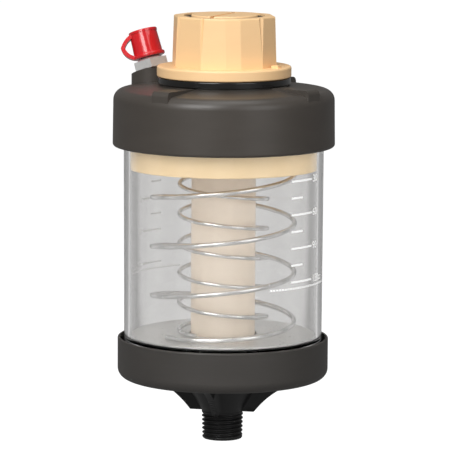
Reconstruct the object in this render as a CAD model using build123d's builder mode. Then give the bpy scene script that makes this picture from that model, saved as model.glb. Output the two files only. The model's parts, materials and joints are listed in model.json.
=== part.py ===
from build123d import *
import os
from math import cos, radians, sin

# Spring-driven grease lubricator, 120 cc. Millimetres, +Z up.
# The origin is the centre of the outlet's end face; every "_z" below is a height over it.
# Angles round the object are bearings: 0 is the front (-Y), 90 is +X.

# ---- driving dimensions ------------------------------------------------------------------------
OUTLET_RADIUS = 6.85          # plain shank that carries the 1/4 inch tapered pipe thread
OUTLET_LENGTH = 9.4
OUTLET_BORE = 2.5
GUSSET_THICKNESS = 2.2
GUSSET_BEARINGS = (-103, -13, 77, 167)

CUP_RADIUS = 35.2
CUP_BOTTOM_Z = 20.8
CUP_RIM_Z = 34.5
CUP_WALL = 2.25
CUP_RIM_BORE = 34.3           # the rim stands a little clear of the bowl

BOWL_BORE = 31.25
BOWL_FOOT_RADIUS = 33.0       # outside, at the floor
BOWL_TOP_RADIUS = 33.3        # outside, at the open end
BOWL_FLOOR_Z = 35.0           # inner face of the floor
BOWL_TOP_Z = 113.0
FLOOR_THICKNESS = 2.6

TUBE_RADIUS = 10.7
TUBE_BORE = 8.0
TUBE_TOP_Z = 113.9
SPIGOT_RADIUS = 7.9           # of the outlet fitting and of the cover, inside the tube

SEAT_THICKNESS = 0.8
SEAT_OUTER = 30.9
SEAT_INNER = 11.4
VENT_RADIUS = 1.25
VENT_OFFSET = 18.0            # straight behind the axis

SCALE_PITCH = 11.08           # height of 30 cc
STROKE = 4 * SCALE_PITCH      # 120 cc
PISTON_BOTTOM_Z = 91.3
PISTON_TOP_Z = 113.0
PISTON_RADIUS = 31.0
PISTON_CROWN_RADIUS = 27.8
PISTON_INNER_RADIUS = 26.0
PISTON_SHOULDER_Z = 98.5
PISTON_ROOF = 2.2
HUB_BORE = 10.77
HUB_RADIUS = 13.4

COVER_BOTTOM_Z = 98.7
COVER_SHOULDER_Z = 117.3
COVER_FOOT_RADIUS = 36.95
COVER_RADIUS = 36.7
COVER_SHOULDER_ROUND = 3.6
COVER_ROOF_Z = 115.6          # underside over the piston
COVER_TOP_Z = 121.6
COVER_NECK_RADIUS = 21.3
NECK_TOP_Z = 119.4            # the washer under the knob lies on it
WASHER_TOP_Z = 121.7
WASHER_RADIUS = 22.1
WASHER_BORE = 10.05
PLUG_RADIUS = 31.1            # the cover's plug inside the bowl
PLUG_INNER = 28.6
PLUG_BOTTOM_Z = 101.5
RIB_WIDTH = 6.4
RIB_TOP_Z = 119.3
RIB_END_RADIUS = 36.3
RIB_BEARINGS = (-35, 54, 143)
STEM_BORE = 4.05
COVER_SPIGOT_Z = 104.0
PORT_Z = 115.6
PORT_RADIUS = 1.0

FITTING_BEARING = -127
FITTING_OFFSET = 30.3
FITTING_TILT = 18.5           # leans outward
FITTING_BASE_Z = 122.5        # where its axis leaves the boss
BOSS_RADIUS = 7.0
BOSS_TOP_Z = 123.4
HEX_ACROSS_FLATS = 11.1
HEX_TOP = 2.9                 # heights from here on are along the fitting's own axis
NOSE_RADIUS = 3.25
NOSE_TOP = 10.4
CAP_RADIUS = 4.75
CAP_FOOT = 4.0
CAP_TOP = 13.4
STRAP_WIDTH = 4.4

KNOB_BOTTOM_Z = 121.8
FLANGE_RADIUS = 22.3
FLANGE_TOP_Z = 125.4
KNOB_FOOT_RADIUS = 17.65
KNOB_TOP_RADIUS = 17.3
KNOB_TOP_Z = 142.0
GRIP_FOOT_EDGES = (-66, -26, 2.5, 18.5, 46, 78)    # bearings of the grip's edges at its foot
GRIP_TOP_EDGES = (-62, -25, 1, 17.5, 45, 77)       # and at its top; both repeat half a turn on
FLUTES = (1.5, 1.0, 0, 0, 1.6, 1.0)    # half width of the flute down each edge; it fades out downward
FLUTE_DEPTH = 0.9
RECESS_RADIUS = 13.5
RECESS_FLOOR_Z = 139.2
RECESS_RING_TOP_Z = 141.5
SCREW_RADIUS = 11.0
SCREW_TOP_Z = 142.3
SLOT_WIDTH = 1.4
SLOT_ANGLE = 68               # from +X
STEM_RADIUS = 4.0
STEM_BOTTOM_Z = 101.4
STEM_TOP_Z = 138.8

OUTER_WIRE = 1.7
OUTER_MEAN_RADIUS = 23.65
OUTER_PITCH = 16.5
OUTER_START = 7               # bearing where the wire leaves the seat
INNER_WIRE = 1.45
INNER_MEAN_RADIUS = 14.65
INNER_PITCH = 9.93
INNER_START = -94

# ---- worked out --------------------------------------------------------------------------------
SEAT_TOP_Z = BOWL_FLOOR_Z + SEAT_THICKNESS
BOWL_BOTTOM_Z = BOWL_FLOOR_Z - FLOOR_THICKNESS
PISTON_ROOF_Z = PISTON_TOP_Z - PISTON_ROOF
CUP_BORE = CUP_RADIUS - 1.95


def around(bearing, radius, z=0.0):
    """The point at a bearing and a distance from the main axis."""
    angle = radians(bearing)
    return Vector(radius * sin(angle), -radius * cos(angle), z)


def radial_plane(bearing):
    """Upright plane through the main axis: its x runs outward at the bearing, its y upward."""
    outward = around(bearing, 1)
    return Plane(origin=(0, 0, 0), x_dir=outward, z_dir=outward.cross(Vector(0, 0, 1)))


tilt = radians(FITTING_TILT)
fitting_base = around(FITTING_BEARING, FITTING_OFFSET, FITTING_BASE_Z)
fitting_direction = around(FITTING_BEARING, sin(tilt), cos(tilt))
fitting_axis = Axis(fitting_base, fitting_direction)
strap_side = (Vector(-1, 0, 0) - fitting_direction * Vector(-1, 0, 0).dot(fitting_direction)).normalized()
fitting_plane = Plane(origin=fitting_base, x_dir=strap_side, z_dir=fitting_direction)
fitting_section = Plane(origin=fitting_base, x_dir=strap_side,
                        z_dir=strap_side.cross(fitting_direction))


def turn(*corners, plane=Plane.XZ, axis=Axis.Z, mode=Mode.ADD):
    """Revolve a closed outline of (radius, height) corners; a third value rounds that corner."""
    with BuildSketch(plane) as outline:
        with BuildLine():
            Polyline(*[corner[:2] for corner in corners], close=True)
        make_face()
        for radius, height, rounding in [corner for corner in corners if len(corner) == 3]:
            fillet(outline.vertices().sort_by_distance((radius, height, 0))[0], rounding)
    revolve(outline.sketch, axis=axis, mode=mode)


def seal_ring(mean_radius, section_radius, z):
    """A round-section seal ring about the main axis."""
    with BuildSketch(Plane.XZ) as section:
        with Locations((mean_radius, z)):
            Circle(section_radius)
    revolve(section.sketch, axis=Axis.Z)


def vent():
    """The vent that runs straight down through the seat, the bowl's floor and the cup."""
    with Locations((0, VENT_OFFSET, BOWL_FLOOR_Z)):
        Cylinder(VENT_RADIUS, 40, mode=Mode.SUBTRACT)


def coil(mean_radius, wire, pitch, bottom_z, top_z, start_bearing, left_handed=False):
    """A wire spring about the main axis, from bottom_z to top_z over its wire."""
    start = around(start_bearing, mean_radius, bottom_z + wire / 2)
    path = Helix(pitch, top_z - bottom_z - wire, mean_radius, lefthand=left_handed, mode=Mode.PRIVATE)
    path = Rot(0, 0, start_bearing - 90) * path
    path = Pos(0, 0, start.Z) * path
    with BuildSketch(Plane(origin=path @ 0, z_dir=path % 0)) as section:
        Circle(wire / 2)
    sweep(section.sketch, path=path, is_frenet=True)


def flute(foot, head, spread):
    """Cut a V groove whose bottom runs from foot, on the surface, to head, below it; spread is its flare."""
    rise = (head - foot).normalized()
    outward = Vector(head.X, head.Y, 0).normalized()
    with BuildSketch(Plane(origin=foot, x_dir=rise.cross(outward), z_dir=rise)) as groove:
        with BuildLine():
            Polyline((0, 0), (3 * spread, -3), (-3 * spread, -3), close=True)
        make_face()
    extrude(groove.sketch, amount=(head - foot).length + 1, mode=Mode.SUBTRACT)


def finish(builder, label):
    """Label a piece and write it."""
    builder.part.label = label
    export_step(builder.part, f"parts/{label}.step")


os.makedirs("parts", exist_ok=True)

# ---- reservoir: everything that stands still ---------------------------------------------------
with BuildPart() as outlet_fitting:
    turn((OUTLET_BORE, 0), (OUTLET_RADIUS, 0), (OUTLET_RADIUS, OUTLET_LENGTH), (9.8, 14.5),
         (14.0, CUP_BOTTOM_Z), (SPIGOT_RADIUS, CUP_BOTTOM_Z), (SPIGOT_RADIUS, 44), (OUTLET_BORE, 44))
    for bearing in GUSSET_BEARINGS:
        with BuildSketch(radial_plane(bearing)) as gusset:
            with BuildLine():
                Line((6.0, OUTLET_LENGTH), (10.9, OUTLET_LENGTH))
                ThreePointArc((10.9, OUTLET_LENGTH), (16.0, 14.6), (27.6, CUP_BOTTOM_Z))
                Line((27.6, CUP_BOTTOM_Z), (6.0, CUP_BOTTOM_Z))
                Line((6.0, CUP_BOTTOM_Z), (6.0, OUTLET_LENGTH))
            make_face()
        extrude(gusset.sketch, amount=GUSSET_THICKNESS / 2, both=True)
    turn((6.3, 39.5), (9, 39.5), (9, 41.5), (6.3, 41.5), mode=Mode.SUBTRACT)
finish(outlet_fitting, "outlet_fitting")

with BuildPart() as base_cup:
    turn((8.0, CUP_BOTTOM_Z), (CUP_RADIUS, CUP_BOTTOM_Z, 3.4), (CUP_RADIUS, CUP_RIM_Z, 0.4),
         (CUP_RIM_BORE, CUP_RIM_Z), (CUP_RIM_BORE, 30.4), (CUP_BORE, 29.4), (CUP_BORE, CUP_BOTTOM_Z + CUP_WALL, 1.4),
         (8.0, CUP_BOTTOM_Z + CUP_WALL))
    for inner_radius in (8.0, 24.0):
        turn((inner_radius, 22), (inner_radius + 2.2, 22), (inner_radius + 2.2, BOWL_BOTTOM_Z),
             (inner_radius, BOWL_BOTTOM_Z))
    vent()
finish(base_cup, "base_cup")

with BuildPart() as reservoir_bowl:
    turn((8.0, BOWL_BOTTOM_Z), (BOWL_FOOT_RADIUS, BOWL_BOTTOM_Z, 1.8), (BOWL_TOP_RADIUS, BOWL_TOP_Z, 0.4),
         (BOWL_BORE, BOWL_TOP_Z), (BOWL_BORE, BOWL_FLOOR_Z, 0.2), (8.0, BOWL_FLOOR_Z))
    turn((33.0, 104.6), (33.9, 105.3), (33.9, 106.1), (33.0, 106.8))
    vent()
finish(reservoir_bowl, "reservoir_bowl")

with BuildPart() as spring_seat:
    turn((SEAT_INNER, BOWL_FLOOR_Z), (SEAT_OUTER, BOWL_FLOOR_Z), (SEAT_OUTER, SEAT_TOP_Z, 0.3),
         (SEAT_INNER, SEAT_TOP_Z))
    vent()
finish(spring_seat, "spring_seat")

with BuildPart() as center_tube:
    turn((TUBE_BORE, BOWL_FLOOR_Z), (TUBE_RADIUS, BOWL_FLOOR_Z), (TUBE_RADIUS, TUBE_TOP_Z, 0.4),
         (TUBE_BORE, TUBE_TOP_Z, 0.4))
finish(center_tube, "center_tube")

with BuildPart() as tube_seal_lower:
    seal_ring(7.14, 0.84, 40.5)
finish(tube_seal_lower, "tube_seal_lower")

with BuildPart() as top_cover:
    turn((STEM_BORE, COVER_SPIGOT_Z), (SPIGOT_RADIUS, COVER_SPIGOT_Z, 0.6), (SPIGOT_RADIUS, TUBE_TOP_Z),
         (11.0, TUBE_TOP_Z), (11.0, 117.2, 0.8), (19.5, 117.2), (22.0, COVER_ROOF_Z), (PLUG_INNER, COVER_ROOF_Z),
         (PLUG_INNER, PLUG_BOTTOM_Z), (PLUG_RADIUS, PLUG_BOTTOM_Z, 0.5), (PLUG_RADIUS, BOWL_TOP_Z),
         (33.5, BOWL_TOP_Z), (33.5, COVER_BOTTOM_Z), (COVER_FOOT_RADIUS, COVER_BOTTOM_Z, 0.9),
         (COVER_RADIUS, COVER_SHOULDER_Z, COVER_SHOULDER_ROUND), (COVER_NECK_RADIUS, 119.0),
         (COVER_NECK_RADIUS, NECK_TOP_Z), (WASHER_BORE - 0.05, NECK_TOP_Z), (WASHER_BORE - 0.05, COVER_TOP_Z),
         (STEM_BORE, COVER_TOP_Z))
    for bearing in RIB_BEARINGS + (FITTING_BEARING,):
        with BuildSketch(radial_plane(bearing)) as rib:
            with BuildLine():
                Polyline((19.8, 118.0), (19.8, RIB_TOP_Z), (RIB_END_RADIUS, RIB_TOP_Z),
                         (RIB_END_RADIUS, 114.6), (30.0, 117.0), close=True)
            make_face()
            fillet(rib.vertices().sort_by_distance((RIB_END_RADIUS, RIB_TOP_Z, 0))[0], 1.7)
        extrude(rib.sketch, amount=RIB_WIDTH / 2, both=True)
    with BuildSketch(Plane.XY.offset(116.8)) as boss:
        with Locations(around(FITTING_BEARING, FITTING_OFFSET)):
            Circle(BOSS_RADIUS)
    extrude(boss.sketch, amount=BOSS_TOP_Z - 116.8)
    with BuildSketch(fitting_plane) as slant:
        Circle(BOSS_RADIUS + 2)
    extrude(slant.sketch, amount=12, mode=Mode.SUBTRACT)
    turn((0, -6), (3.9, -6), (3.9, 1), (0, 1), plane=fitting_section, axis=fitting_axis, mode=Mode.SUBTRACT)
    turn((0, -9.6), (1.5, -9.6), (1.5, 1), (0, 1), plane=fitting_section, axis=fitting_axis, mode=Mode.SUBTRACT)
    turn((29.58, 104.0), (32, 104.0), (32, 106.0), (29.58, 106.0), mode=Mode.SUBTRACT)
    turn((33.2, 104.4), (34.1, 105.2), (34.1, 106.2), (33.2, 107.0), mode=Mode.SUBTRACT)
    turn((6.3, 108.0), (9, 108.0), (9, 110.0), (6.3, 110.0), mode=Mode.SUBTRACT)
    with Locations(Location((0, 0, PORT_Z), (0, 90, 0))):
        Cylinder(PORT_RADIUS, 26, mode=Mode.SUBTRACT)
finish(top_cover, "top_cover")

with BuildPart() as thrust_washer:
    turn((WASHER_BORE, NECK_TOP_Z), (WASHER_RADIUS, NECK_TOP_Z, 0.4), (WASHER_RADIUS, WASHER_TOP_Z, 0.4),
         (WASHER_BORE, WASHER_TOP_Z))
finish(thrust_washer, "thrust_washer")

with BuildPart() as tube_seal_upper:
    seal_ring(7.14, 0.84, 109.0)
finish(tube_seal_upper, "tube_seal_upper")

with BuildPart() as cover_seal:
    seal_ring(30.41, 0.83, 105.0)
finish(cover_seal, "cover_seal")

with BuildPart() as outer_spring:
    coil(OUTER_MEAN_RADIUS, OUTER_WIRE, OUTER_PITCH, SEAT_TOP_Z, PISTON_ROOF_Z, OUTER_START)
finish(outer_spring, "outer_spring")

with BuildPart() as inner_spring:
    coil(INNER_MEAN_RADIUS, INNER_WIRE, INNER_PITCH, SEAT_TOP_Z, PISTON_ROOF_Z, INNER_START, left_handed=True)
finish(inner_spring, "inner_spring")

with BuildPart() as grease_fitting:
    with BuildSketch(fitting_plane) as hexagon:
        RegularPolygon(HEX_ACROSS_FLATS / 2, 6, major_radius=False, rotation=30)
    extrude(hexagon.sketch, amount=HEX_TOP)
    turn((0, -5.6), (3.85, -5.6, 0.5), (3.85, 0), (5.3, 0), (5.3, HEX_TOP), (3.3, 3.9), (2.7, 5.6), (2.3, 7.2),
         (NOSE_RADIUS, 8.6), (NOSE_RADIUS, 9.4), (2.3, NOSE_TOP, 0.5), (0, NOSE_TOP),
         plane=fitting_section, axis=fitting_axis)
    turn((0, -5.6), (1.4, -5.6), (1.4, 8.8), (0.8, 9.6), (0.8, NOSE_TOP + 1), (0, NOSE_TOP + 1),
         plane=fitting_section, axis=fitting_axis, mode=Mode.SUBTRACT)
finish(grease_fitting, "grease_fitting")

with BuildPart() as check_ball:
    with Locations(fitting_plane.from_local_coords((0, 0, 8.45))):
        Sphere(1.15)
finish(check_ball, "check_ball")

with BuildPart() as check_spring:
    check_path = fitting_plane.location * Pos(0, 0, 1.0) * Helix(1.1, 6.1, 0.95)
    with BuildSketch(Plane(origin=check_path @ 0, z_dir=check_path % 0)) as check_wire:
        Circle(0.15)
    sweep(check_wire.sketch, path=check_path, is_frenet=True)
finish(check_spring, "check_spring")

# ---- piston ------------------------------------------------------------------------------------
with BuildPart() as piston:
    turn((HUB_BORE, PISTON_TOP_Z), (PISTON_CROWN_RADIUS, PISTON_TOP_Z, 1.5),
         (PISTON_CROWN_RADIUS, PISTON_SHOULDER_Z), (PISTON_RADIUS, PISTON_SHOULDER_Z, 0.3),
         (PISTON_RADIUS, PISTON_BOTTOM_Z, 0.4), (PISTON_INNER_RADIUS + 1, PISTON_BOTTOM_Z, 0.4),
         (PISTON_INNER_RADIUS, PISTON_ROOF_Z, 1.0), (HUB_RADIUS, PISTON_ROOF_Z, 0.6), (HUB_RADIUS, 99.0, 0.4),
         (HUB_BORE, 99.0))
    turn((HUB_BORE - 1, 104.0), (12.36, 104.0), (12.36, 106.0), (HUB_BORE - 1, 106.0), mode=Mode.SUBTRACT)
finish(piston, "piston")

with BuildPart() as piston_seal:
    turn((PISTON_CROWN_RADIUS + 0.02, PISTON_SHOULDER_Z), (30.6, PISTON_SHOULDER_Z), (31.2, 100.5),
         (30.7, 100.8), (29.9, 99.7), (PISTON_CROWN_RADIUS + 0.02, 99.7))
finish(piston_seal, "piston_seal")

with BuildPart() as hub_seal:
    seal_ring(11.56, 0.8, 105.0)
finish(hub_seal, "hub_seal")

# ---- knob and valve ----------------------------------------------------------------------------
with BuildPart() as control_knob:
    turn((STEM_RADIUS, KNOB_BOTTOM_Z), (FLANGE_RADIUS, KNOB_BOTTOM_Z, 0.5), (FLANGE_RADIUS, FLANGE_TOP_Z, 0.7),
         (STEM_RADIUS, FLANGE_TOP_Z))
    for z, radius, bearings in ((FLANGE_TOP_Z, KNOB_FOOT_RADIUS, GRIP_FOOT_EDGES),
                                (KNOB_TOP_Z, KNOB_TOP_RADIUS, GRIP_TOP_EDGES)):
        edges = [around(bearing + turned, radius) for turned in (0, 180) for bearing in bearings]
        with BuildSketch(Plane.XY.offset(z)):
            with BuildLine():
                Polyline(*[(edge.X, edge.Y) for edge in edges], close=True)
            make_face()
    loft()
    fillet(control_knob.edges().group_by(Axis.Z)[-1], 0.5)
    for turned in (0, 180):
        for foot_bearing, top_bearing, half_width in zip(GRIP_FOOT_EDGES, GRIP_TOP_EDGES, FLUTES):
            if half_width:
                flute(around(foot_bearing + turned, KNOB_FOOT_RADIUS, FLANGE_TOP_Z + 2),
                      around(top_bearing + turned, KNOB_TOP_RADIUS - FLUTE_DEPTH, KNOB_TOP_Z),
                      half_width / FLUTE_DEPTH)
    turn((0, KNOB_TOP_Z + 1), (RECESS_RADIUS, KNOB_TOP_Z + 1), (RECESS_RADIUS, RECESS_FLOOR_Z),
         (0, RECESS_FLOOR_Z), mode=Mode.SUBTRACT)
    turn((7.2, KNOB_BOTTOM_Z - 1), (14.0, KNOB_BOTTOM_Z - 1), (14.0, 136.4, 1.0), (7.2, 136.4),
         mode=Mode.SUBTRACT)
    turn((0, KNOB_BOTTOM_Z - 1), (STEM_RADIUS, KNOB_BOTTOM_Z - 1), (STEM_RADIUS, KNOB_TOP_Z),
         (0, KNOB_TOP_Z), mode=Mode.SUBTRACT)
    turn((STEM_RADIUS, 139.0), (6.0, 139.0), (6.0, 140.2), (STEM_RADIUS, 140.2))
    with BuildSketch(Plane.XY.offset(FLANGE_TOP_Z - 0.2)) as pip:
        with Locations(Location(around(61, 19.5), (0, 0, 61 - 90))):
            Rectangle(2.6, 2.0)
    extrude(pip.sketch, amount=1.1)
finish(control_knob, "control_knob")

with BuildPart() as knob_screw:
    turn((0, 128.5), (2.45, 128.5), (2.45, 140.2), (SCREW_RADIUS, 140.2), (SCREW_RADIUS, SCREW_TOP_Z, 0.4),
         (0, SCREW_TOP_Z))
    with BuildSketch(Plane.XY.offset(SCREW_TOP_Z + 0.5)) as slot:
        Rectangle(2 * SCREW_RADIUS + 1, SLOT_WIDTH, rotation=SLOT_ANGLE)
    extrude(slot.sketch, amount=-1.6, mode=Mode.SUBTRACT)
finish(knob_screw, "knob_screw")

with BuildPart() as recess_ring:
    turn((SCREW_RADIUS + 0.1, RECESS_FLOOR_Z), (RECESS_RADIUS - 0.05, RECESS_FLOOR_Z),
         (RECESS_RADIUS - 0.05, RECESS_RING_TOP_Z, 0.4), (SCREW_RADIUS + 0.1, RECESS_RING_TOP_Z, 0.4))
finish(recess_ring, "recess_ring")

with BuildPart() as valve_stem:
    turn((0, STEM_BOTTOM_Z), (STEM_RADIUS, STEM_BOTTOM_Z, 0.4), (STEM_RADIUS, STEM_TOP_Z, 0.4), (0, STEM_TOP_Z))
    turn((0, 128.0), (2.5, 128.0), (2.5, STEM_TOP_Z + 1), (0, STEM_TOP_Z + 1), mode=Mode.SUBTRACT)
    for floor_radius, low_z, high_z in ((2.75, 109.05, 110.95), (2.75, 118.05, 119.95),
                                        (3.2, PORT_Z - 0.8, PORT_Z + 0.8), (3.1, 102.7, 103.7)):
        turn((floor_radius, low_z), (STEM_RADIUS + 1, low_z), (STEM_RADIUS + 1, high_z), (floor_radius, high_z),
             mode=Mode.SUBTRACT)
    turn((0, STEM_BOTTOM_Z - 1), (1.25, STEM_BOTTOM_Z - 1), (1.25, PORT_Z), (0, PORT_Z + 0.7),
         mode=Mode.SUBTRACT)
    with Locations(Location((0, 0, PORT_Z), (0, 90, 0))):
        Cylinder(0.6, 12, mode=Mode.SUBTRACT)
finish(valve_stem, "valve_stem")

for label, z in (("stem_seal_lower", 110.0), ("stem_seal_upper", 119.0)):
    with BuildPart() as stem_seal:
        seal_ring(3.38, 0.62, z)
    finish(stem_seal, label)

with BuildPart() as stem_clip:
    turn((3.12, 102.75), (6.2, 102.75), (6.2, 103.65), (3.12, 103.65))
    with Locations((0, -5, 103.2)):
        Box(4.4, 8, 4, mode=Mode.SUBTRACT)
finish(stem_clip, "stem_clip")

# ---- dust cap ----------------------------------------------------------------------------------
with BuildPart() as dust_cap:
    with BuildSketch(fitting_section) as strap:
        with BuildLine():
            ThreePointArc((0, CAP_TOP), (5.8, 12.0), (8.6, 9.0))
            ThreePointArc((8.6, 9.0), (7.6, 6.1), (4.6, CAP_FOOT))
            Line((4.6, CAP_FOOT), (4.4, 5.2))
            ThreePointArc((4.4, 5.2), (6.5, 6.9), (7.2, 8.8))
            ThreePointArc((7.2, 8.8), (6.0, 10.3), (4.2, 11.3))
            Line((4.2, 11.3), (0, 11.9))
            Line((0, 11.9), (0, CAP_TOP))
        make_face()
    extrude(strap.sketch, amount=STRAP_WIDTH / 2, both=True)
    turn((0, CAP_FOOT), (5.5, CAP_FOOT, 0.5), (5.5, CAP_FOOT + 1.3, 0.5), (CAP_RADIUS + 0.15, CAP_FOOT + 1.3),
         (CAP_RADIUS - 0.1, CAP_TOP - 0.9), (CAP_RADIUS + 0.1, CAP_TOP - 0.9), (CAP_RADIUS + 0.1, CAP_TOP, 0.3),
         (0, CAP_TOP), plane=fitting_section, axis=fitting_axis)
    turn((0, CAP_FOOT - 1), (3.45, CAP_FOOT - 1), (3.4, CAP_TOP - 1.7), (0, CAP_TOP - 1.7),
         plane=fitting_section, axis=fitting_axis, mode=Mode.SUBTRACT)
finish(dust_cap, "dust_cap")
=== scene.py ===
# %% [markdown]
# # A spring-driven grease lubricator
# The solids of this lubricator come from the CAD frame: sizes, places, mounts and joints are settled there.
# This file gives them their finish, and remodels the pieces whose look needs more than a plain solid:
# the pipe thread, the two springs, the clear bowl and its printed scale. Everything is in metres, +Z up,
# and the origin is the centre of the outlet's end face.

# %% Load the frame
import json
import math

import bmesh
import bpy
from mathutils import Matrix, Vector


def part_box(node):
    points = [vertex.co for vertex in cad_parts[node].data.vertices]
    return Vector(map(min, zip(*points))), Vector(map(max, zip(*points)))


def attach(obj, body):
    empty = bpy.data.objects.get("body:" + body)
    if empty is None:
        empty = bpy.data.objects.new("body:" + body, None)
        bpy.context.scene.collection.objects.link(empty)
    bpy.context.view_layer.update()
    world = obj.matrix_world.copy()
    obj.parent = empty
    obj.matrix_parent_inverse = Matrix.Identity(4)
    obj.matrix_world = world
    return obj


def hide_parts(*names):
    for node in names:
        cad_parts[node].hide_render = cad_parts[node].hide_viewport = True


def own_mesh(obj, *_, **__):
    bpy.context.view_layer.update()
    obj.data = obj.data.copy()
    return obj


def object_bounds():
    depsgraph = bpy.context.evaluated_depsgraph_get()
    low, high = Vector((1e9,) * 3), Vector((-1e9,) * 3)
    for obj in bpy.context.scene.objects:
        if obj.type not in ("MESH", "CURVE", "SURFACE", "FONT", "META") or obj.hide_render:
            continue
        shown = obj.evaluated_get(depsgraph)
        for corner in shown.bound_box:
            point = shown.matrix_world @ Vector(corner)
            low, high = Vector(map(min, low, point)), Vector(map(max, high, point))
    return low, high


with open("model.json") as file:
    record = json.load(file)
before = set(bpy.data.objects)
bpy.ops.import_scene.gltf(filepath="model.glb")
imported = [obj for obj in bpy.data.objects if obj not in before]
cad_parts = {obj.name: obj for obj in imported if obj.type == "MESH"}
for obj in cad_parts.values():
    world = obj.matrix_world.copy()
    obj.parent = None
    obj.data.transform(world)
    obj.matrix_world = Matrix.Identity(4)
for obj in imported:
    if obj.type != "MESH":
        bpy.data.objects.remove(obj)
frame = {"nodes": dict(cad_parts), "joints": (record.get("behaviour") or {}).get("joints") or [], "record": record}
nodes = frame["nodes"]
cad_low, cad_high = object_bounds()
MM = 0.001
print("frame:", len(nodes), "nodes,", [round(v / MM, 1) for v in cad_high - cad_low], "mm")

# %% [markdown]
# ## Arithmetic on sockets
# Node trees are easier to read as sums than as boxes and noodles. `Wire` holds one output socket, and each
# Python operator on it adds one Math node. `Tree.node` makes any other node: settings first, then sockets.
# Both work in shader trees and in Geometry Nodes trees alike.


# %% Wires and trees
class Wire:
    """An output socket that Python's operators can do sums on."""

    def __init__(self, tree, socket):
        self.tree = tree
        self.socket = socket

    def sum(self, operation, *values):
        return self.tree.node("ShaderNodeMath", {"operation": operation}, dict(enumerate(values)))

    def __add__(self, other):
        return self.sum("ADD", self, other)

    def __sub__(self, other):
        return self.sum("SUBTRACT", self, other)

    def __rsub__(self, other):
        return self.sum("SUBTRACT", other, self)

    def __mul__(self, other):
        return self.sum("MULTIPLY", self, other)

    def __truediv__(self, other):
        return self.sum("DIVIDE", self, other)

    __radd__ = __add__
    __rmul__ = __mul__


class Tree:
    """A node tree that is built from top to bottom."""

    def __init__(self, node_tree):
        self.nodes = node_tree.nodes
        self.links = node_tree.links

    def node(self, kind, settings=None, inputs=None, output=0):
        """Add a node, set it up, feed its sockets, and return one of its outputs as a Wire."""
        made = self.nodes.new(kind)
        for key, value in (settings or {}).items():
            if key == "stops":
                self.set_stops(made.color_ramp, value)
            else:
                setattr(made, key, value)
        for key, value in (inputs or {}).items():
            if isinstance(value, Wire):
                self.links.new(value.socket, made.inputs[key])
            else:
                made.inputs[key].default_value = value
        return Wire(self, made.outputs[output]) if made.outputs else made

    @staticmethod
    def set_stops(ramp, stops):
        while len(ramp.elements) < len(stops):
            ramp.elements.new(1.0)
        for element, (position, color) in zip(ramp.elements, stops):
            element.position = position
            element.color = color


# %% [markdown]
# ## Finishes
# Every finish starts from the same base: a Principled shader whose constant sockets are set directly, and
# whose colour, roughness and bump may vary over the surface. Patterns read Object coordinates, so they are
# in real metres and stay on the piece when it moves.


# %% A finish and its patterns
def linear(red, green, blue):
    """Scene-linear colour of a paint chip that is named by its 0-255 screen values."""
    def channel(value):
        value /= 255
        return value / 12.92 if value <= 0.04045 else ((value + 0.055) / 1.055) ** 2.4
    return (channel(red), channel(green), channel(blue), 1.0)


def new_finish(name, **constants):
    """A material with a Principled shader; returns the material, its tree and the shader's node."""
    material = bpy.data.materials.new(name)
    material.use_nodes = True
    tree = Tree(material.node_tree)
    shader = tree.nodes["Principled BSDF"]
    for key, value in constants.items():
        shader.inputs[key.replace("_", " ").title().replace("Ior", "IOR")].default_value = value
    return material, tree, shader


def place(tree, stretch=(1, 1, 1)):
    """Object coordinates, in metres, optionally stretched."""
    point = tree.node("ShaderNodeTexCoord", output="Object")
    return tree.node("ShaderNodeMapping", inputs={"Vector": point, "Scale": stretch})


def cloud(tree, feature, detail=3.0, stretch=(1, 1, 1)):
    """Soft noise from 0 to 1 whose features are about `feature` metres across."""
    return tree.node("ShaderNodeTexNoise", inputs={
        "Vector": place(tree, stretch), "Scale": 1 / feature, "Detail": detail, "Roughness": 0.55})


def tinted(tree, factor, first, second):
    """A colour between two, by a factor from 0 to 1."""
    return tree.node("ShaderNodeMix", {"data_type": "RGBA"}, {0: factor, 6: first, 7: second}, output=2)


def relief(tree, height, distance):
    """A bump of the given height pattern, `distance` metres deep."""
    return tree.node("ShaderNodeBump", inputs={"Height": height, "Distance": distance, "Strength": 1.0})


def connect(tree, shader, **wires):
    """Feed the shader's varying sockets: color, roughness, normal."""
    names = {"color": "Base Color", "roughness": "Roughness", "normal": "Normal"}
    for key, wire in wires.items():
        tree.links.new(wire.socket, shader.inputs[names[key]])


# %% [markdown]
# ### Moulded plastics
# Glass-filled nylon comes out of its mould with a fine spark-eroded grain, a slow drift in shade, and faint
# flow lines round the wall. One function makes all the opaque plastics, because they differ only in colour,
# gloss and how coarse the grain is.


# %% Moulded plastic
def moulded(name, shade, gloss, drift=0.12, grain=0.35 * MM, depth=0.008 * MM, **constants):
    material, tree, shader = new_finish(name, **constants)
    slow = cloud(tree, 14 * MM, stretch=(1, 1, 2.5))
    flow = cloud(tree, 5 * MM, detail=2.0, stretch=(0.25, 0.25, 3.0))
    mix = slow * 0.7 + flow * 0.3
    darker = tuple(channel * (1 - drift) for channel in shade[:3]) + (1,)
    lighter = tuple(min(channel * (1 + drift), 1) for channel in shade[:3]) + (1,)
    fine = cloud(tree, grain, detail=2.0)
    connect(tree, shader, color=tinted(tree, mix, darker, lighter),
            roughness=fine * 0.10 + slow * 0.08 + (gloss - 0.09),
            normal=relief(tree, fine, depth))
    return material


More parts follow.
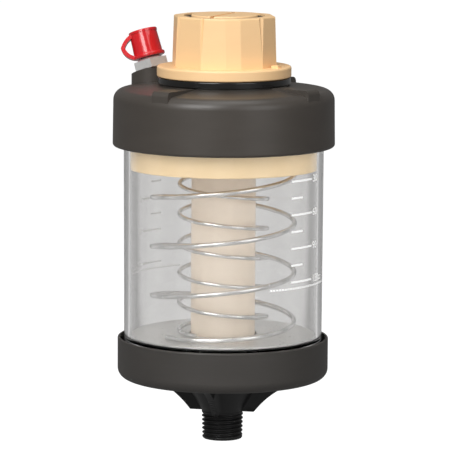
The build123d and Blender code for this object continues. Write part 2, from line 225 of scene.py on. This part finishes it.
cover_nylon = moulded("cover_nylon", linear(68, 63, 58), gloss=0.38, drift=0.16)
cup_nylon = moulded("cup_nylon", linear(62, 59, 56), gloss=0.5, drift=0.14)
outlet_nylon = moulded("outlet_nylon", linear(28, 28, 28), gloss=0.4)
tan_plastic = moulded("tan_plastic", linear(232, 219, 203), gloss=0.45, drift=0.05)
piston_plastic = moulded("piston_plastic", linear(252, 224, 180), gloss=0.42, drift=0.05)
knob_plastic = moulded("knob_plastic", linear(252, 209, 156), gloss=0.40, drift=0.05, depth=0.005 * MM)
cap_plastic = moulded("cap_plastic", linear(214, 30, 38), gloss=0.22, drift=0.08, depth=0.002 * MM,
                      coat_weight=0.6)
black_acetal = moulded("black_acetal", linear(20, 19, 18), gloss=0.22, depth=0.002 * MM, coat_weight=0.5)

# %% [markdown]
# ### Metals
# The springs are drawn wire and the grease fitting is zinc plated. Both are metallic, with a roughness that
# is mottled on the wire and on the plating; only the brass stem's mottle is drawn out into streaks.


# %% Metals
def plated(name, shade, gloss, feature, stretch=(1, 1, 1), metallic=1.0):
    material, tree, shader = new_finish(name, metallic=metallic)
    mottle = cloud(tree, feature, detail=4.0, stretch=stretch)
    darker = tuple(channel * 0.82 for channel in shade[:3]) + (1,)
    connect(tree, shader, color=tinted(tree, mottle, darker, shade),
            roughness=mottle * 0.16 + (gloss - 0.08), normal=relief(tree, mottle, 0.004 * MM))
    return material


plated_steel = plated("plated_steel", linear(232, 232, 230), gloss=0.3, feature=1.2 * MM, metallic=0.5)
spring_steel = plated("spring_steel", linear(250, 250, 249), gloss=0.24, feature=1.5 * MM, metallic=0.85)
stem_brass = plated("stem_brass", linear(214, 178, 110), gloss=0.3, feature=0.6 * MM, stretch=(1, 1, 4))

# %% [markdown]
# ### Rubber, print and clear plastic
# The seals are matte black rubber. The scale is white ink, with a faint painted glow that keeps it bright, also
# where it is seen through the bowl. The bowl is clear styrene: a smooth transmitting shader with a slight grey
# body colour, so its thick edges look darker than its face.


# %% Rubber, ink and clear plastic
seal_rubber = moulded("seal_rubber", linear(38, 38, 38), gloss=0.6, drift=0.2, grain=0.2 * MM)


def printed_ink_with_glow():
    # The emission is painted light: the ink glows faintly so that the white print stays bright, also through the
    # bowl.
    material, tree, shader = new_finish("glowing_white_ink", emission_color=(1, 1, 1, 1), emission_strength=0.45)
    wear = cloud(tree, 0.4 * MM, detail=4.0)
    connect(tree, shader, color=tinted(tree, wear, linear(228, 228, 226), linear(252, 252, 250)),
            roughness=wear * 0.2 + 0.4)
    return material


def clear_styrene():
    material, tree, shader = new_finish("clear_plastic", transmission_weight=1.0, ior=1.5)
    ripple = cloud(tree, 9 * MM, detail=1.0, stretch=(1, 1, 0.5))
    haze = cloud(tree, 3 * MM)
    connect(tree, shader, color=tinted(tree, haze, (0.74, 0.735, 0.73, 1), (0.78, 0.775, 0.77, 1)),
            roughness=haze * 0.02 + 0.01, normal=relief(tree, ripple, 0.02 * MM))
    return material


glowing_white_ink = printed_ink_with_glow()
clear_plastic = clear_styrene()

# %% Finish of each carried-over solid
FINISHES = {
    "cover_nylon": cover_nylon, "cup_nylon": cup_nylon, "outlet_nylon": outlet_nylon,
    "clear_plastic": clear_plastic, "tan_plastic": tan_plastic, "piston_plastic": piston_plastic,
    "knob_plastic": knob_plastic, "cap_plastic": cap_plastic, "plated_steel": plated_steel,
    "spring_steel": spring_steel, "stem_brass": stem_brass, "seal_rubber": seal_rubber,
    "black_acetal": black_acetal,
}
for part in frame["record"]["subparts"]:
    solid = nodes[part["node"]]
    solid.data.materials.clear()
    solid.data.materials.append(FINISHES[part["material_slot"]])

# %% [markdown]
# ## Springs
# Each spring is a wire that follows a rule: it turns at a constant rate and climbs at a constant pitch,
# except near its ends, where the climb eases to nothing and the coil lies down on its seat. Geometry Nodes
# fits this well: a line of points is bent by a formula, and Curve to Mesh gives it the wire's section.


# %% A Geometry Nodes tree with named inputs
def geometry_tree(name, inputs):
    """An empty geometry tree with float or integer inputs, given as name -> kind."""
    group = bpy.data.node_groups.new(name, "GeometryNodeTree")
    for key, kind in inputs.items():
        group.interface.new_socket(key, in_out="INPUT", socket_type=kind)
    group.interface.new_socket("Geometry", in_out="OUTPUT", socket_type="NodeSocketGeometry")
    tree = Tree(group)
    source = group.nodes.new("NodeGroupInput")
    return group, tree, {key: Wire(tree, source.outputs[key]) for key in inputs}


def grown(name, group, values, body):
    """Run a geometry tree once and keep its result as a plain mesh that rides on a body."""
    holder = bpy.data.objects.new(name + "_source", bpy.data.meshes.new(name + "_source"))
    bpy.context.scene.collection.objects.link(holder)
    modifier = holder.modifiers.new("grow", "NODES")
    modifier.node_group = group
    for item in group.interface.items_tree:
        if item.in_out == "INPUT" and item.name in values:
            modifier[item.identifier] = values[item.name]
    bpy.context.view_layer.update()
    evaluated = holder.evaluated_get(bpy.context.evaluated_depsgraph_get())
    mesh = bpy.data.meshes.new_from_object(evaluated)
    mesh.name = name
    bpy.data.objects.remove(holder)
    return placed(name, mesh, body)


def placed(name, mesh, body):
    """Link a finished mesh as a piece of a body."""
    piece = bpy.data.objects.new(name, mesh)
    bpy.context.scene.collection.objects.link(piece)
    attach(piece, body)
    print(name, len(mesh.polygons), "faces")
    return piece


# %% The spring's tree
def spring_tree():
    """Inputs in metres, turns and radians; Hand is 1 for a right-handed coil, -1 for a left-handed one."""
    number = "NodeSocketFloat"
    group, tree, given = geometry_tree("coiled_wire", {
        "Points": "NodeSocketInt", "Turns": number, "Ease": number, "Pitch": number, "Coil Radius": number,
        "Wire Radius": number, "Foot": number, "Start": number, "Hand": number,
        "Material": "NodeSocketMaterial"})
    index = tree.node("GeometryNodeInputIndex")
    turns = index / (given["Points"] - 1) * given["Turns"]
    ease = given["Ease"]
    early = turns.sum("MINIMUM", turns, ease)
    late = (turns - (given["Turns"] - ease)).sum("MAXIMUM", turns - (given["Turns"] - ease), 0.0)
    climbed = early * early / (ease * 2) + (turns - early) - late * late / (ease * 2)
    angle = turns * math.tau * given["Hand"] + given["Start"]
    position = tree.node("ShaderNodeCombineXYZ", inputs={
        0: angle.sum("SINE", angle) * given["Coil Radius"],
        1: angle.sum("COSINE", angle) * given["Coil Radius"] * -1,
        2: climbed * given["Pitch"] + given["Foot"]})
    line = tree.node("GeometryNodeMeshLine", inputs={"Count": given["Points"]})
    bent = tree.node("GeometryNodeSetPosition", inputs={"Geometry": line, "Position": position})
    path = tree.node("GeometryNodeMeshToCurve", inputs={"Mesh": bent})
    section = tree.node("GeometryNodeCurvePrimitiveCircle", inputs={"Resolution": 16, "Radius": given["Wire Radius"]})
    wire = tree.node("GeometryNodeCurveToMesh", inputs={"Curve": path, "Profile Curve": section, "Fill Caps": True})
    smooth = tree.node("GeometryNodeSetShadeSmooth", inputs={"Geometry": wire})
    real = tree.node("GeometryNodeRealizeInstances", inputs={"Geometry": smooth})
    dressed = tree.node("GeometryNodeSetMaterial", inputs={"Geometry": real, "Material": given["Material"]})
    tree.node("NodeGroupOutput", inputs={"Geometry": dressed})
    return group


# %% Both springs
coiled_wire = spring_tree()
piston_joint = next(joint for joint in frame["joints"] if joint["name"] == "piston_slide")
stroke = piston_joint["range_m"][1]


def spring(node, wire_radius, pitch, ease, start_bearing, hand):
    """A spring that stands where its solid stands."""
    low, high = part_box(node)
    coil_radius = (high.x - low.x) / 2 - wire_radius
    climb = high.z - low.z - 2 * wire_radius
    turns = climb / pitch + ease
    piece = grown(node + "_wire", coiled_wire, {
        "Points": round(turns * 80), "Turns": turns, "Ease": ease, "Pitch": pitch, "Coil Radius": coil_radius,
        "Wire Radius": wire_radius, "Foot": low.z + wire_radius, "Start": math.radians(start_bearing),
        "Hand": hand, "Material": spring_steel}, "reservoir")
    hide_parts(node)
    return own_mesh(piece, "piston_slide", (0, 0, 1), (0, 0, low.z), keep=1 - stroke / (high.z - low.z))


spring("outer_spring", 0.85 * MM, 16.5 * MM, 0.35, start_bearing=-51, hand=1)
spring("inner_spring", 0.725 * MM, 9.93 * MM, 0.31, start_bearing=-38, hand=-1)

# %% [markdown]
# ## Turned pieces
# The bowl is a body of revolution, so it is lathed: an outline of radius and height, with each corner
# rounded to its real radius, is carried round the axis. Fine steps matter here, because a clear wall shows
# every facet twice, once by reflection and once by refraction.


# %% Lathe
def rounded(corners, steps=6):
    """A closed outline in mm; a corner's third value is its rounding radius."""
    points = []
    for number, corner in enumerate(corners):
        here = Vector(corner[:2])
        if len(corner) == 2:
            points.append(here)
            continue
        to_last = (Vector(corners[number - 1][:2]) - here).normalized()
        to_next = (Vector(corners[(number + 1) % len(corners)][:2]) - here).normalized()
        half = to_last.angle(to_next) / 2
        reach = corner[2] / math.tan(half)
        center = here + (to_last + to_next).normalized() * corner[2] / math.sin(half)
        first = here + to_last * reach - center
        last = here + to_next * reach - center
        for step in range(steps + 1):
            points.append(center + first.lerp(last, step / steps).normalized() * corner[2])
    return held(points)


def held(points, reach=0.3):
    """Add a point just inside each end of every long side, so that smooth shading keeps the side straight."""
    outline = []
    for number, here in enumerate(points):
        ahead = points[(number + 1) % len(points)]
        outline.append(here)
        span = (ahead - here).length
        if span > 4 * reach:
            outline += [here.lerp(ahead, reach / span), ahead.lerp(here, reach / span)]
    return outline


def lathed(corners, segments=192, steps=6):
    """A bmesh of the outline carried round the main axis, in metres, faces outward."""
    outline = rounded(corners, steps)
    shape = bmesh.new()
    rings = []
    for segment in range(segments):
        angle = math.tau * segment / segments
        rings.append([shape.verts.new((p.x * MM * math.cos(angle), p.x * MM * math.sin(angle), p.y * MM))
                      for p in outline])
    for segment, ring in enumerate(rings):
        following = rings[(segment + 1) % segments]
        for point in range(len(outline)):
            ahead = (point + 1) % len(outline)
            shape.faces.new((ring[point], following[point], following[ahead], ring[ahead]))
    bmesh.ops.recalc_face_normals(shape, faces=shape.faces)
    return shape


def solid_mesh(name, shape, material, sharp=35):
    """Turn a bmesh into a smooth mesh whose edges stay crisp past an angle in degrees."""
    mesh = bpy.data.meshes.new(name)
    shape.to_mesh(mesh)
    shape.free()
    mesh.materials.append(material)
    mesh.polygons.foreach_set("use_smooth", [True] * len(mesh.polygons))
    mesh.set_sharp_from_angle(angle=math.radians(sharp))
    return mesh


# %% The clear bowl
BOWL_BORE = 31.25
FOOT_RADIUS, TOP_RADIUS = 33.0, 33.3
bowl_low, bowl_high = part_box("reservoir_bowl")
floor_bottom, bowl_top = bowl_low.z / MM, bowl_high.z / MM
floor_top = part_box("spring_seat")[0].z / MM
bowl = placed("clear_bowl", solid_mesh("clear_bowl", lathed([
    (8.0, floor_bottom, 0.3), (FOOT_RADIUS, floor_bottom, 1.8), (TOP_RADIUS, bowl_top, 0.4),
    (BOWL_BORE, bowl_top, 0.3), (BOWL_BORE, floor_top, 0.2), (8.0, floor_top, 0.3)], segments=256),
    clear_plastic), "reservoir")
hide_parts("reservoir_bowl")

# %% [markdown]
# ## The volume scale
# The bowl carries two printed scales, on opposite sides: a long tick every 30 cc, a short one between, and a
# line round the front for the highest fill. The ticks repeat, so a Geometry Nodes tree instances one tick on
# a column of points. The whole print is laid out flat, then wrapped on the bowl.

# %% Layout of the scale
MARK_PITCH = stroke / 4
TOP_MARK = 89.7 * MM
MARK_START = math.radians(42)
INK_RADIUS = 33.3 * MM
DASHES, DASH_PITCH = 26, 1.15 * MM


def tick_tree():
    """A column of ticks in the XY plane, every other one short, starting at the origin and going down."""
    number = "NodeSocketFloat"
    group, tree, given = geometry_tree("scale_ticks", {
        "Count": "NodeSocketInt", "Spacing": number, "Length": number, "Short Share": number,
        "Line Width": number, "Material": "NodeSocketMaterial"})
    drop = tree.node("ShaderNodeCombineXYZ", inputs={1: given["Spacing"] * -1})
    column = tree.node("GeometryNodeMeshLine", inputs={"Count": given["Count"], "Offset": drop})
    bar = tree.node("GeometryNodeMeshGrid", inputs={
        "Size X": given["Length"], "Size Y": given["Line Width"], "Vertices X": 17, "Vertices Y": 2})
    aside = tree.node("ShaderNodeCombineXYZ", inputs={0: given["Length"] / 2})
    tick = tree.node("GeometryNodeTransform", inputs={"Geometry": bar, "Translation": aside})
    index = tree.node("GeometryNodeInputIndex")
    odd = index.sum("MODULO", index, 2.0)
    share = 1 - odd * (1 - given["Short Share"])
    size = tree.node("ShaderNodeCombineXYZ", inputs={0: share, 1: 1.0, 2: 1.0})
    ticks = tree.node("GeometryNodeInstanceOnPoints", inputs={"Points": column, "Instance": tick, "Scale": size})
    real = tree.node("GeometryNodeRealizeInstances", inputs={"Geometry": ticks})
    dressed = tree.node("GeometryNodeSetMaterial", inputs={"Geometry": real, "Material": given["Material"]})
    tree.node("NodeGroupOutput", inputs={"Geometry": dressed})
    return group


def flat_words(words, height, x, y):
    """Flat lettering as a mesh, its left end on (x, y), centred on it in height."""
    curve = bpy.data.curves.new("words", "FONT")
    curve.body = words
    curve.size = height
    curve.align_y = "CENTER"
    holder = bpy.data.objects.new("words", curve)
    bpy.context.scene.collection.objects.link(holder)
    bpy.context.view_layer.update()
    mesh = bpy.data.meshes.new_from_object(holder.evaluated_get(bpy.context.evaluated_depsgraph_get()))
    bpy.data.objects.remove(holder)
    mesh.transform(Matrix.Translation((x, y, 0)))
    return mesh


def wrapped(shape, turned):
    """Lay a flat print, x along the wall and y up, on the bowl; `turned` is its bearing in radians."""
    for vert in shape.verts:
        bearing = turned + vert.co.x / INK_RADIUS
        vert.co = Vector((INK_RADIUS * math.sin(bearing), -INK_RADIUS * math.cos(bearing), vert.co.y))
    bmesh.ops.recalc_face_normals(shape, faces=shape.faces)


# %% Print both scales
ticks = grown("ticks", tick_tree(), {
    "Count": 7, "Spacing": MARK_PITCH / 2, "Length": 10.8 * MM, "Short Share": 0.5, "Line Width": 0.6 * MM,
    "Material": glowing_white_ink}, "reservoir")
for name, side in (("volume_scale_front", 0.0), ("volume_scale_back", math.pi)):
    shape = bmesh.new()
    shape.from_mesh(ticks.data)
    bmesh.ops.translate(shape, verts=shape.verts, vec=(0, TOP_MARK, 0))
    for number, volume in enumerate(("30", "60", "90", "120cc")):
        words = flat_words(volume, 3.4 * MM, 11.4 * MM, TOP_MARK - number * MARK_PITCH)
        shape.from_mesh(words)
        bpy.data.meshes.remove(words)
    for number in range(DASHES):
        dash = bmesh.ops.create_grid(shape, x_segments=2, y_segments=1, size=0.5)["verts"]
        bmesh.ops.scale(shape, verts=dash, vec=(DASH_PITCH * 0.68, 0.6 * MM, 1))
        bmesh.ops.translate(shape, verts=dash, vec=(
            (number - 0.27 * DASHES) * DASH_PITCH, TOP_MARK - 3 * MARK_PITCH - 2.1 * MM, 0))
    wrapped(shape, MARK_START + side)
    placed(name, solid_mesh(name, shape, glowing_white_ink), "reservoir")
bpy.data.objects.remove(ticks)

# %% [markdown]
# ## The outlet's pipe thread
# The solid's shank is plain. Its thread is a grid whose every point is pulled in or out by a formula: a
# triangular groove that climbs one pitch a turn, on a cone, fading out at the end and under the gussets.
# The rest of the fitting is the solid's own mesh, cut off where the thread begins.


# %% The thread's tree
def thread_tree():
    number = "NodeSocketFloat"
    group, tree, given = geometry_tree("pipe_thread", {
        "Around": "NodeSocketInt", "Along": "NodeSocketInt", "End Radius": number, "Taper": number,
        "Pitch": number, "Depth": number, "Foot": number, "Length": number, "Material": "NodeSocketMaterial"})
    made = tree.nodes.new("GeometryNodeMeshGrid")
    tree.links.new(given["Around"].socket, made.inputs["Vertices X"])
    tree.links.new(given["Along"].socket, made.inputs["Vertices Y"])
    split = tree.nodes.new("ShaderNodeSeparateXYZ")
    tree.links.new(made.outputs["UV Map"], split.inputs[0])
    turn, share = Wire(tree, split.outputs[0]), Wire(tree, split.outputs[1])
    height = share * given["Length"]
    phase = (height / given["Pitch"] - turn)
    phase = phase.sum("FRACT", phase)
    wave = (phase * 2 - 1)
    groove = (wave.sum("ABSOLUTE", wave) - 0.14) / 0.72
    groove = groove.sum("MINIMUM", groove.sum("MAXIMUM", groove, 0.0), 1.0)
    fade_in = height / given["Pitch"] + 0.15
    fade_out = (given["Length"] - height) / (given["Pitch"] * 1.3)
    fade = fade_in.sum("MINIMUM", fade_in.sum("MINIMUM", fade_in, fade_out), 1.0)
    radius = given["End Radius"] + height * given["Taper"] - groove * given["Depth"] * fade
    angle = turn * math.tau
    position = tree.node("ShaderNodeCombineXYZ", inputs={
        0: angle.sum("COSINE", angle) * radius, 1: angle.sum("SINE", angle) * radius, 2: height + given["Foot"]})
    bent = tree.node("GeometryNodeSetPosition", inputs={
        "Geometry": Wire(tree, made.outputs["Mesh"]), "Position": position})
    closed = tree.node("GeometryNodeMergeByDistance", inputs={"Geometry": bent, "Distance": 0.001 * MM})
    real = tree.node("GeometryNodeRealizeInstances", inputs={"Geometry": closed})
    dressed = tree.node("GeometryNodeSetMaterial", inputs={"Geometry": real, "Material": given["Material"]})
    tree.node("NodeGroupOutput", inputs={"Geometry": dressed})
    return group


# %% The threaded outlet fitting
THREAD_FOOT, SHANK_TOP, SHANK_RADIUS, OUTLET_BORE = 0.5, 9.35, 6.95, 2.5
END_RADIUS = 6.75
thread = grown("thread", thread_tree(), {
    "Around": 145, "Along": 150, "End Radius": END_RADIUS * MM,
    "Taper": (SHANK_RADIUS - END_RADIUS) / (SHANK_TOP - THREAD_FOOT), "Pitch": 1.411 * MM, "Depth": 0.85 * MM,
    "Foot": THREAD_FOOT * MM, "Length": (SHANK_TOP - THREAD_FOOT) * MM, "Material": outlet_nylon},
    "reservoir")
fitting = bmesh.new()
fitting.from_mesh(nodes["outlet_fitting"].data)
bmesh.ops.remove_doubles(fitting, verts=fitting.verts, dist=0.001 * MM)
bmesh.ops.bisect_plane(fitting, geom=fitting.verts[:] + fitting.edges[:] + fitting.faces[:],
                       plane_co=(0, 0, SHANK_TOP * MM), plane_no=(0, 0, 1), clear_inner=True)
fitting.from_mesh(thread.data)
end = lathed([(OUTLET_BORE, SHANK_TOP), (OUTLET_BORE, 0, 0.3), (6.4, 0, 0.25), (END_RADIUS, THREAD_FOOT)],
             segments=144)
hidden = [face for face in end.faces if face.calc_center_median().z > THREAD_FOOT * MM * 1.01
          and face.calc_center_median().xy.length > (OUTLET_BORE + 0.5) * MM]
bmesh.ops.delete(end, geom=hidden, context="FACES")
end_mesh = bpy.data.meshes.new("end")
end.to_mesh(end_mesh)
end.free()
fitting.from_mesh(end_mesh)
bpy.data.meshes.remove(end_mesh)
bpy.data.objects.remove(thread)
outlet = placed("outlet_fitting_threaded", solid_mesh("outlet_fitting_threaded", fitting, outlet_nylon, 30),
                "reservoir")
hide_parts("outlet_fitting")

# %% [markdown]
# ## Stage, light and camera
# A pale floor, a large soft key light from the front left, a weaker fill from the right and one from above.
# The camera sees the floor and the world as plain white, and things are lit by them at a lower level. Clear
# plastic needs something darker to bend into its edges, or it vanishes on white: rays that come through the
# bowl see eight white panels around the object, with grey between them.


# %% Stage
PANELS, GREY_LEVEL, INSIDE_LEVEL = 8, 0.5, 2.6


def panels(tree, point):
    """From GREY_LEVEL to 1 by the bearing of a point or direction: white at every eighth of a turn."""
    split = tree.nodes.new("ShaderNodeSeparateXYZ")
    tree.links.new(point.socket, split.inputs[0])
    across, along = Wire(tree, split.outputs[0]), Wire(tree, split.outputs[1])
    bearing = across.sum("ARCTAN2", across, along) * PANELS
    level = bearing.sum("COSINE", bearing) * 2.2 + 0.5
    level = level.sum("MINIMUM", level.sum("MAXIMUM", level, 0.0), 1.0)
    return level * (1 - GREY_LEVEL) + GREY_LEVEL


def seen_as(tree, point, plain):
    """Brightness by kind of ray: 1 for the camera, the panels through clear plastic, `plain` for the rest."""
    made = tree.nodes.new("ShaderNodeLightPath")
    camera = Wire(tree, made.outputs["Is Camera Ray"])
    through = Wire(tree, made.outputs["Is Transmission Ray"]) * (1 - camera)
    lights = Wire(tree, made.outputs["Diffuse Depth"])
    lights = lights.sum("MINIMUM", lights, 1.0)
    behind = panels(tree, point) * (1 - lights) + lights * INSIDE_LEVEL
    return camera + through * behind + (1 - camera - through) * plain


def stage_material():
    material = bpy.data.materials.new("pale_floor")
    material.use_nodes = True
    tree = Tree(material.node_tree)
    tree.nodes.clear()
    point = tree.node("ShaderNodeTexCoord", output="Object")
    paper = tree.node("ShaderNodeBsdfDiffuse", inputs={"Color": (0.16, 0.16, 0.16, 1)})
    glow = tree.node("ShaderNodeEmission", inputs={
        "Color": (1, 1, 1, 1), "Strength": seen_as(tree, point, FLOOR_LEVEL)})
    tree.node("ShaderNodeOutputMaterial", inputs={0: tree.node("ShaderNodeAddShader", inputs={0: paper, 1: glow})})
    return material


FLOOR_LEVEL, WORLD_LEVEL = 0.13, 0.17
floor = bpy.data.objects.new("floor", bpy.data.meshes.new("floor"))
sheet = bmesh.new()
bmesh.ops.create_grid(sheet, x_segments=1, y_segments=1, size=12)
bmesh.ops.translate(sheet, verts=sheet.verts, vec=(0, 0, cad_low.z - 0.03))
sheet.to_mesh(floor.data)
sheet.free()
floor.data.materials.append(stage_material())
bpy.context.scene.collection.objects.link(floor)

world = bpy.data.worlds.new("studio")
world.use_nodes = True
bpy.context.scene.world = world
sky = Tree(world.node_tree)
sky.nodes.clear()
direction = sky.node("ShaderNodeTexCoord", output="Generated")
sky.node("ShaderNodeOutputWorld", inputs={0: sky.node("ShaderNodeBackground", inputs={
    "Color": (1, 1, 1, 1), "Strength": seen_as(sky, direction, WORLD_LEVEL)})})


# %% Lights
MIDDLE = Vector((0, 0, 0.072))


def soft_light(name, bearing, elevation, distance, size, power):
    """A square soft box that faces the middle of the object."""
    lamp = bpy.data.lights.new(name, "AREA")
    lamp.size = size
    lamp.energy = power
    holder = bpy.data.objects.new(name, lamp)
    turn, rise = math.radians(bearing), math.radians(elevation)
    toward = Vector((math.sin(turn) * math.cos(rise), -math.cos(turn) * math.cos(rise), math.sin(rise)))
    holder.location = MIDDLE + toward * distance
    holder.rotation_euler = toward.to_track_quat("Z", "Y").to_euler()
    bpy.context.scene.collection.objects.link(holder)


soft_light("key", bearing=-28, elevation=32, distance=0.9, size=0.5, power=6.2)
soft_light("fill", bearing=38, elevation=20, distance=1.0, size=0.6, power=2.6)
soft_light("top", bearing=10, elevation=80, distance=0.8, size=0.6, power=2.6)

# %% Camera
DISTANCE, ELEVATION, LENS, ROLL = 1.18, math.radians(7.8), 283.2, math.radians(0.3)
camera_data = bpy.data.cameras.new("camera")
camera_data.lens = LENS
camera_data.sensor_width = 36
camera_data.shift_x = 0.0036
camera = bpy.data.objects.new("camera", camera_data)
toward = Vector((0, -math.cos(ELEVATION), math.sin(ELEVATION)))
camera.matrix_world = (Matrix.Translation(MIDDLE + toward * DISTANCE)
                       @ toward.to_track_quat("Z", "Y").to_matrix().to_4x4() @ Matrix.Rotation(ROLL, 4, "Z"))
bpy.context.scene.collection.objects.link(camera)
bpy.context.scene.camera = camera
bpy.context.scene.view_settings.view_transform = "Standard"
